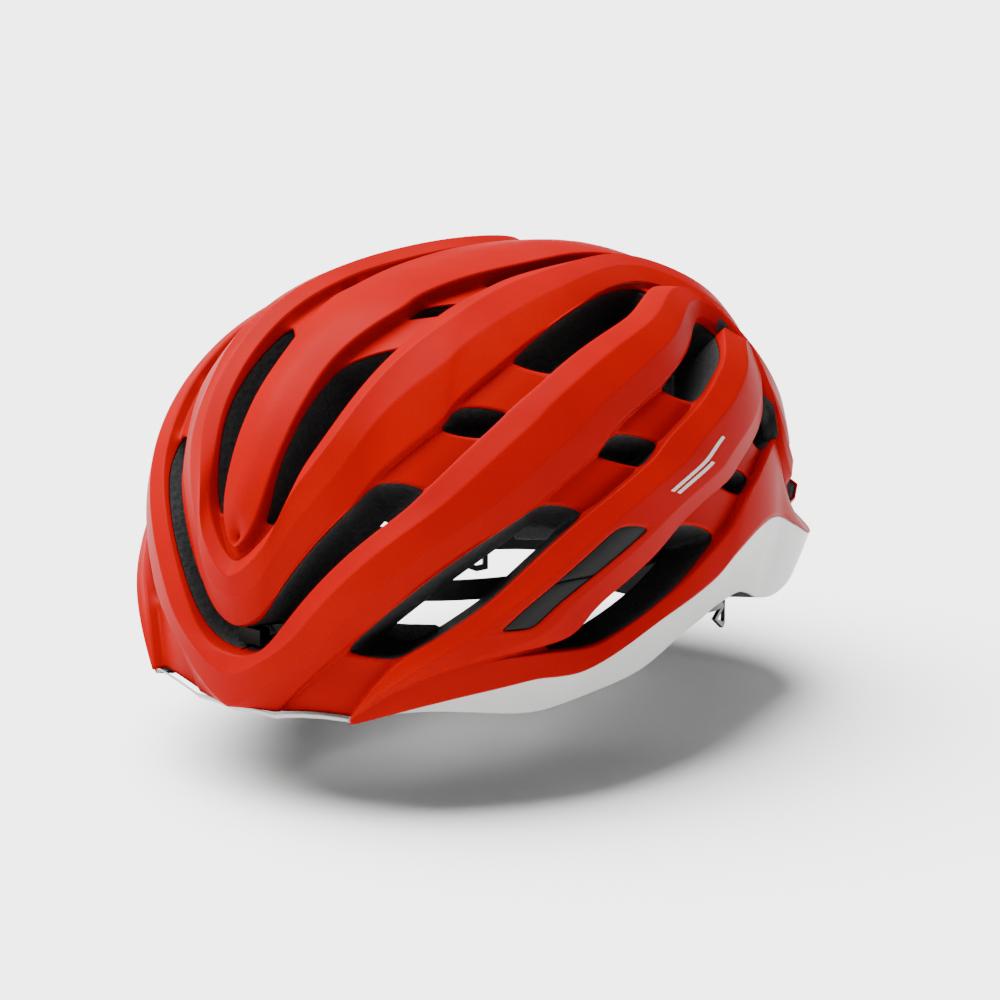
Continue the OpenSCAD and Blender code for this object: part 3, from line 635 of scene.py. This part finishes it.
inner_map = rounded(column_map, VENTS, FOAM_CORNER, FOAM_NARROWS, FOAM_SHORTENS)
direction = heading(inner_map)
depth = (FOAM_SIDE * direction[..., 0] ** 2 + FOAM_ENDS * direction[..., 1] ** 2
         + FOAM_TOP * direction[..., 2] ** 2)
foam_outer = place(rounded(column_map, VENTS, CORNER),
                   column_lift - LOWER_DROP - SHELL_WALL - SKIN_GAP, MIDDLE_Z)
foam_inner = place(inner_map, -depth, MIDDLE_Z)
foam_solid = solid_cells(0, len(guides) - 1, VENTS)
foam_liner = skin("foam_liner_beads",
                  [foam_outer, *(foam_outer + (foam_inner - foam_outer) * share
                                 for share in FOAM_LAYERS), foam_inner],
                  foam_solid, guide_column[BROW_GUIDE])
subdivide(foam_liner, 1)

FOAM = (0.0045, 0.0045, 0.0048, 1.0)
FOAM_PALE = (0.021, 0.0213, 0.022, 1.0)
foam = Finish("black_bead_foam", 0.75, Specular_IOR_Level=0.25)
beads = foam.node("ShaderNodeTexVoronoi", {"feature": "SMOOTH_F1"},
                  {"Vector": foam.where(), "Scale": 420.0, "Smoothness": 0.4})
dust = foam.ramp(foam.noise(1500.0, 3.0, 0.7), 0.45, 0.72)
foam.use(Base_Color=foam.mix(dust * 0.7 + beads * 0.3, FOAM, FOAM_PALE),
         Roughness=dust * 0.15 + 0.68,
         Normal=foam.bump(beads * 1.0 + dust * 0.4, 0.45, 0.0008))
foam_liner.data.materials.append(foam.material)
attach(foam_liner, "helmet")
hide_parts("foam_liner")

# ---- Slot inserts -------------------------------------------------------------------------------
# Fine-grained black plates, two end to end in the slot of each side rib, with a hairline between
# them. They lie on the foam and stand a little below the paint.

INSERT_SINK = 0.45
INSERT_WALL = 0.8
INSERT_GAP = 0.06
SPLIT = 2.55
PLATE_STATIONS = 9
PLATE_BEVEL = 0.0002


def plate(name, side, front, rear, sink, wall, low_share=0.025, high_share=0.975):
    """A closed plate between two stations and two shares of the way across the slotted
    facet, sunk a little below it (or, if sink is negative, proud of it)."""
    left, right = hole_box(*SLOT)[:2]
    stations = np.linspace(front, rear, PLATE_STATIONS)
    rows = np.arange(ROWS) / ROWS_BETWEEN
    wide = right - left + 1
    grid = np.array([[[np.interp(t, rows, vent_map[c, :, k]) for k in (0, 1)] for t in stations]
                     for c in range(left, right + 1)])
    lifts = np.array([[np.interp(t, rows, column_lift[c]) for t in stations]
                      for c in range(left, right + 1)])
    across = np.linspace(low_share, high_share, wide)[:, None]
    grid = grid[:1] + (grid[-1:] - grid[:1]) * across[..., None]
    lifts = lifts[:1] + (lifts[-1:] - lifts[:1]) * across
    layers = [place(grid, lifts - sink - drop, MIDDLE_Z) for drop in (0.0, wall)]
    points = np.concatenate([layer.reshape(-1, 3) for layer in layers]) * np.array([side, 1, 1])
    tall = len(stations)
    faces = []
    for i in range(wide - 1):
        for j in range(tall - 1):
            quad = [i * tall + j, (i + 1) * tall + j, (i + 1) * tall + j + 1, i * tall + j + 1]
            faces += [quad, [wide * tall + v for v in reversed(quad)]]
    ring = [(i, 0) for i in range(wide)] + [(wide - 1, j) for j in range(1, tall)]
    ring += [(i, tall - 1) for i in range(wide - 2, -1, -1)] + [(0, j) for j in range(tall - 2, 0, -1)]
    loop = [i * tall + j for i, j in ring]
    for k, v in enumerate(loop):
        w = loop[(k + 1) % len(loop)]
        faces.append([w, v, v + wide * tall, w + wide * tall])
    mesh = bpy.data.meshes.new(name)
    mesh.from_pydata(points.tolist(), [], faces)
    work = bmesh.new()
    work.from_mesh(mesh)
    bmesh.ops.recalc_face_normals(work, faces=work.faces)
    work.to_mesh(mesh)
    work.free()
    mesh.shade_smooth()
    piece = bpy.data.objects.new(name, mesh)
    scene.collection.objects.link(piece)
    soften = piece.modifiers.new("edge", "BEVEL")
    soften.width = PLATE_BEVEL
    soften.segments = 2
    soften.limit_method = "ANGLE"
    return piece


INSERT_BLACK = (0.004, 0.004, 0.0042, 1.0)
INSERT_PALE = (0.008, 0.008, 0.0085, 1.0)
insert_black = Finish("grained_black_insert", 0.5, Specular_IOR_Level=0.1)
dimple = insert_black.noise(3200.0, 2.0)
insert_haze = insert_black.ramp(insert_black.noise(60.0, 3.0), 0.35, 0.7)
insert_black.use(Base_Color=insert_black.mix(insert_haze, INSERT_BLACK, INSERT_PALE),
                 Roughness=insert_haze * 0.1 + dimple * 0.1 + 0.45,
                 Normal=insert_black.bump(dimple, 0.15, 0.0002))
for side_name, side_sign in (("left", 1), ("right", -1)):
    for end_name, front, rear in (("front", SLOT[2], SPLIT - INSERT_GAP / 2),
                                  ("rear", SPLIT + INSERT_GAP / 2, SLOT[3])):
        piece = plate(f"slot_plate_{end_name}_{side_name}", side_sign, front, rear,
                      INSERT_SINK, INSERT_WALL)
        piece.data.materials.append(insert_black.material)
        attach(piece, "helmet")
        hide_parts(f"slot_insert_{end_name}_{side_name}")

# ---- Side marks -----------------------------------------------------------------------------------
# A plain pair of pale bars on each side rib behind its slot, with no lettering. They are one
# thin coat of matt ink, printed over the paint.

MARK_PROUD = 0.09
MARK_WALL = 0.06
INK = (0.42, 0.42, 0.42, 1.0)
INK_THIN = (0.34, 0.33, 0.33, 1.0)
ink = Finish("pale_printed_ink", 0.6, Specular_IOR_Level=0.1)
patchy = ink.ramp(ink.noise(900.0, 3.0), 0.4, 0.75)
ink.use(Base_Color=ink.mix(patchy, INK, INK_THIN), Roughness=patchy * 0.1 + 0.55,
        Normal=ink.bump(patchy, 0.1, 0.0001))
for side_name, side_sign in (("left", 1), ("right", -1)):
    for bar_name, front, rear, low_share, high_share in (("long", 4.35, 6.2, 0.34, 0.5),
                                                         ("short", 4.35, 5.3, 0.62, 0.78)):
        bar = plate(f"printed_bar_{bar_name}_{side_name}", side_sign, front, rear,
                    -MARK_PROUD, MARK_WALL, low_share, high_share)
        bar.data.materials.append(ink.material)
        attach(bar, "helmet")

# ---- Pads ---------------------------------------------------------------------------------------
# Brow, crown, side and nape pads: brushed charcoal knit round soft foam, welded shut at the
# edge. They hold to hook discs, and plump up a little between their edges.

PADS = {"brow_pad": "helmet", "crown_pad_centre": "helmet", "crown_pad_left": "helmet",
        "crown_pad_right": "helmet", "side_pad_left": "helmet", "side_pad_right": "helmet",
        "nape_pad_left": "cradle", "nape_pad_right": "cradle"}
PAD_VOXEL = 0.0021
PAD_SHRINK = 0.0007
PAD_SWELL = 0.0011
PAD_FRAMES = 20
PAD_PRESSURE = 4.0
PAD_RELAX = 0.5
PAD_PASSES = 3


def positions(mesh):
    """The points of a mesh as rows of x, y, z."""
    points = np.zeros(len(mesh.vertices) * 3, np.float32)
    mesh.vertices.foreach_get("co", points)
    return points.reshape(-1, 3)


def apply_modifiers(piece):
    """Leave the piece's present shape as its plain mesh."""
    bpy.context.view_layer.update()
    shaped = piece.evaluated_get(bpy.context.evaluated_depsgraph_get())
    mesh = bpy.data.meshes.new_from_object(shaped)
    piece.modifiers.clear()
    piece.data = mesh


def pad(node):
    """A knit pad: the node's solid, remeshed slightly smaller, then blown up as cloth."""
    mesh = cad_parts[node].data.copy()
    piece = bpy.data.objects.new("knit_" + node, mesh)
    scene.collection.objects.link(piece)
    work = bmesh.new()
    work.from_mesh(mesh)
    bmesh.ops.remove_doubles(work, verts=work.verts, dist=1e-6)
    bmesh.ops.recalc_face_normals(work, faces=work.faces)
    work.to_mesh(mesh)
    work.free()
    remesh = piece.modifiers.new("remesh", "REMESH")
    remesh.mode = "VOXEL"
    remesh.voxel_size = PAD_VOXEL
    remesh.use_smooth_shade = True
    shrink = piece.modifiers.new("shrink", "DISPLACE")
    shrink.strength = -PAD_SHRINK
    shrink.mid_level = 0.0
    relax = piece.modifiers.new("relax", "SMOOTH")
    relax.factor = PAD_RELAX
    relax.iterations = PAD_PASSES
    apply_modifiers(piece)
    start = positions(piece.data)
    cloth = piece.modifiers.new("cloth", "CLOTH")
    cloth.settings.use_pressure = True
    cloth.settings.uniform_pressure_force = PAD_PRESSURE
    cloth.settings.effector_weights.gravity = 0.0
    cloth.settings.quality = 4
    cloth.point_cache.frame_end = PAD_FRAMES
    for step in range(1, PAD_FRAMES + 1):
        scene.frame_set(step)
    apply_modifiers(piece)
    end = positions(piece.data)
    move = end - start
    far = np.linalg.norm(move, axis=1, keepdims=True)
    move *= np.minimum(1.0, PAD_SWELL / np.maximum(far, 1e-9))
    piece.data.vertices.foreach_set("co", (start + move).ravel())
    scene.frame_set(1)
    piece.data.shade_smooth()
    subdivide(piece, 1)
    return piece


KNIT = (0.020, 0.020, 0.022, 1.0)
KNIT_PALE = (0.055, 0.055, 0.060, 1.0)
knit = Finish("charcoal_knit", 0.9, Specular_IOR_Level=0.2, Sheen_Weight=0.25)
loops = knit.node("ShaderNodeTexVoronoi", {}, {"Vector": knit.where(), "Scale": 1400.0})
nap = knit.noise(500.0, 4.0, 0.7)
shade = knit.ramp(knit.noise(45.0, 2.0), 0.3, 0.7)
knit.use(Base_Color=knit.mix(loops * 0.6 + nap * 0.3 + shade * 0.2, KNIT, KNIT_PALE),
         Roughness=nap * 0.1 + 0.85,
         Normal=knit.bump(loops * 0.7 + nap * 0.5, 0.6, 0.0006))
for node, body in PADS.items():
    piece = pad(node)
    piece.data.materials.clear()
    piece.data.materials.append(knit.material)
    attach(piece, body)
    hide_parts(node)

# ---- Hook discs ---------------------------------------------------------------------------------
# Round tabs of black hook tape, a stiff woven nylon with a self-adhesive back, stuck to the
# foam and the headband where the pads go.

TAPE = (0.008, 0.008, 0.009, 1.0)
TAPE_PALE = (0.045, 0.045, 0.048, 1.0)
tape = Finish("hook_tape", 0.85, Specular_IOR_Level=0.3)
hooks = tape.node("ShaderNodeTexVoronoi", {"feature": "F1"}, {"Vector": tape.where(), "Scale": 1100.0})
tape.use(Base_Color=tape.mix(hooks * 1.2, TAPE_PALE, TAPE), Roughness=hooks * 0.1 + 0.8,
         Normal=tape.bump(hooks, 0.7, 0.0005))


def finish_node(finish, *nodes):
    """Give CAD nodes, which keep their shape, a finish."""
    for node in nodes:
        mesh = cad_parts[node].data
        mesh.materials.clear()
        mesh.materials.append(finish.material)


finish_node(tape, "hook_discs")

# ---- Fit system ---------------------------------------------------------------------------------
# Black nylon mouldings: the front band and its anchors, the brow strut, webbing anchors, the
# height rail with its yoke, the dial housing and the two rack arms, all snapped together.

NYLON = (0.0032, 0.0032, 0.0035, 1.0)
NYLON_PALE = (0.0095, 0.0095, 0.010, 1.0)
nylon = Finish("moulded_black_nylon", 0.5, Specular_IOR_Level=0.12)
flow = nylon.ramp(nylon.noise(70.0, 4.0, 0.6), 0.35, 0.7)
spark = nylon.noise(2800.0, 2.0)
nylon_edges = nylon.ramp(nylon.node("ShaderNodeNewGeometry", {}, {}, "Pointiness"), 0.52, 0.6)
nylon.use(Base_Color=nylon.mix(flow * 0.6 + nylon_edges * 0.4, NYLON, NYLON_PALE),
          Roughness=flow * 0.12 + spark * 0.1 + 0.4,
          Normal=nylon.bump(spark, 0.25, 0.0003))
finish_node(nylon, "brow_strut", "front_headband", "temple_anchor_left", "temple_anchor_right",
            "strap_anchors", "height_rail", "cradle_yoke", "housing_inner", "housing_outer",
            "rack_arm_left", "rack_arm_right")

# ---- Dial ---------------------------------------------------------------------------------------
# The knob is a ribbed soft-touch moulding, its pinion natural acetal. A plated screw holds
# both, four more close the housing, and a sprung steel strip clicks in the knob's teeth.

GRIP = (0.006, 0.006, 0.0065, 1.0)
GRIP_PALE = (0.016, 0.016, 0.017, 1.0)
grip = Finish("soft_touch_grip", 0.8, Specular_IOR_Level=0.1)
grit = grip.noise(3600.0, 3.0, 0.7)
rub = grip.ramp(grip.noise(120.0, 3.0), 0.4, 0.7)
grip.use(Base_Color=grip.mix(rub * 0.7 + grit * 0.3, GRIP, GRIP_PALE),
         Roughness=grit * 0.1 + rub * -0.1 + 0.78, Normal=grip.bump(grit, 0.3, 0.0003))
finish_node(grip, "dial_knob")

ACETAL = (0.62, 0.61, 0.55, 1.0)
ACETAL_DULL = (0.50, 0.49, 0.43, 1.0)
acetal = Finish("natural_acetal", 0.35)
bloom = acetal.ramp(acetal.noise(160.0, 3.0), 0.3, 0.7)
acetal.use(Base_Color=acetal.mix(bloom, ACETAL, ACETAL_DULL), Roughness=bloom * 0.1 + 0.3,
           Normal=acetal.bump(acetal.noise(2500.0), 0.1, 0.0002))
finish_node(acetal, "dial_pinion")

STEEL = (0.16, 0.16, 0.165, 1.0)
STEEL_DULL = (0.09, 0.09, 0.095, 1.0)
steel = Finish("dark_plated_steel", 0.3, Metallic=1.0)
brush = steel.noise(1800.0, 4.0, 0.7)
steel.use(Base_Color=steel.mix(steel.ramp(brush, 0.35, 0.7), STEEL, STEEL_DULL),
          Roughness=brush * 0.2 + 0.3, Normal=steel.bump(brush, 0.15, 0.0001))
finish_node(steel, "dial_screw", "housing_screws", "click_spring")

# ---- Floor --------------------------------------------------------------------------------------
# The table top of the studio, pale and matt. It fills the camera's view, but its far edge
# shows in very low views. It isn't part of the helmet.

floor_mesh = bpy.data.meshes.new("studio_floor")
REACH = 6.0
FLOOR_PALE = (0.93, 0.93, 0.93, 1.0)
floor_mesh.from_pydata([(-REACH, -REACH, -FLOOR_DROP), (REACH, -REACH, -FLOOR_DROP),
                        (REACH, REACH, -FLOOR_DROP), (-REACH, REACH, -FLOOR_DROP)],
                       [], [(0, 1, 2, 3)])
floor = bpy.data.objects.new("studio_floor", floor_mesh)
scene.collection.objects.link(floor)
pale = Finish("pale_floor", 0.9)
pale.use(Base_Color=FLOOR_PALE)
floor.data.materials.append(pale.material)
